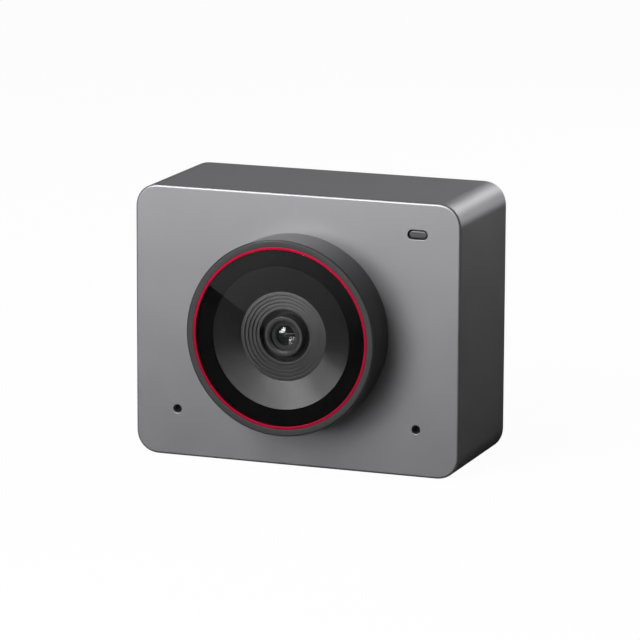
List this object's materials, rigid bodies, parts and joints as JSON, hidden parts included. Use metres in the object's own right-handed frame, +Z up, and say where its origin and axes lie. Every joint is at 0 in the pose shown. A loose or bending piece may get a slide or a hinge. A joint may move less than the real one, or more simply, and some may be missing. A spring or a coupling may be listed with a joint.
{
  "type": "webcam",
  "caption": "Block-shaped desk webcam head with a proud round lens window, autofocus lens, microphones, indicator, cable inlet and tripod socket.",
  "frame": {"origin": "mouth of the tripod socket, at the middle of the bottom face", "axes": "+Z up out of the bottom face, the lens looks along -Y, +X is on the right seen from the front"},
  "size_m": [0.06, 0.033, 0.0482],
  "materials": {
    "body_paint": "satin grey metallic paint",
    "cover_plastic": "fine matt texture",
    "bezel_paint": "dark satin anodised",
    "accent_red": "metallic crimson",
    "window_glass": "clear, coated",
    "mask_ink": "black printed border",
    "adhesive": "black tape",
    "baffle_black": "glossy black cone with matt stepped rings",
    "foam_black": "open foam",
    "lens_black": "satin black",
    "lens_glass": "coated optical glass",
    "filter_glass": "blue-green filter glass",
    "spring_bronze": "etched sheet",
    "coil_copper": "enamelled copper wire",
    "magnet_nickel": "nickel plated",
    "drive_steel": "pressed steel",
    "can_steel": "pressed steel with a black coating",
    "drive_plastic": "moulded black",
    "sensor_ceramic": "ceramic package",
    "board_green": "solder mask",
    "flex_amber": "polyimide film",
    "chip_black": "moulded chip package",
    "connector_cream": "moulded connector",
    "passive_ceramic": "ceramic with tinned ends",
    "pad_grey": "soft thermal pad",
    "sink_aluminium": "extruded, anodised",
    "bracket_aluminium": "pressed sheet",
    "gasket_rubber": "moulded rubber",
    "mesh_black": "woven dust mesh",
    "indicator_lens": "smoked light pipe",
    "led_body": "clear moulded chip light",
    "inlet_steel": "drawn steel shell",
    "inlet_black": "moulded tongue",
    "contact_gold": "gold plated",
    "insert_brass": "turned brass",
    "screw_steel": "black zinc plated"
  },
  "bodies": {
    "housing": {"front_housing": "body_paint", "rear_cover": "cover_plastic", "tripod_insert": "insert_brass", "lens_bezel": "bezel_paint", "accent_ring": "accent_red", "cover_glass": "window_glass", "glass_mask": "mask_ink", "glass_adhesive": "adhesive", "light_baffle": "baffle_black", "lens_foam": "foam_black", "focus_magnets": "magnet_nickel", "actuator_can": "can_steel", "actuator_spacer": "drive_plastic", "actuator_base": "drive_plastic", "front_leaf_spring": "spring_bronze", "rear_leaf_spring": "spring_bronze", "filter_holder": "drive_plastic", "infrared_filter": "filter_glass", "image_sensor": "sensor_ceramic", "sensor_board": "board_green", "sensor_stiffener": "drive_steel", "sensor_flex": "flex_amber", "camera_bracket": "bracket_aluminium", "front_board": "board_green", "front_board_flex": "flex_amber", "microphones": "drive_steel", "mic_gaskets": "gasket_rubber", "mic_meshes": "mesh_black", "indicator_window": "indicator_lens", "indicator_led": "led_body", "main_board": "board_green", "board_connectors": "connector_cream", "processor": "chip_black", "thermal_pad": "pad_grey", "heat_sink": "sink_aluminium", "memory_chip": "chip_black", "power_chips": "chip_black", "board_passives": "passive_ceramic", "usb_shell": "inlet_steel", "usb_tongue": "inlet_black", "usb_contacts": "contact_gold", "cover_screws": "screw_steel", "main_board_screws": "screw_steel", "bracket_screws": "screw_steel", "front_board_screws": "screw_steel", "bezel_screws": "screw_steel", "sensor_screws": "screw_steel", "heat_sink_screws": "screw_steel"},
    "lens_carriage": {"lens_barrel": "lens_black", "lens_retainer": "lens_black", "front_element": "lens_glass", "second_element": "lens_glass", "third_element": "lens_glass", "rear_element": "lens_glass", "lens_spacers": "lens_black", "aperture_stop": "lens_black", "focus_carrier": "drive_plastic", "focus_coil": "coil_copper"}
  },
  "joints": [
    {"name": "focus_slide", "type": "slide", "parent": "housing", "child": "lens_carriage", "axis": [0, -1, 0], "range_m": [0, 0.0003], "stiffness_N_per_m": 40, "springref_m": -0.0001, "deforming": ["front_leaf_spring", "rear_leaf_spring"]}
  ]
}
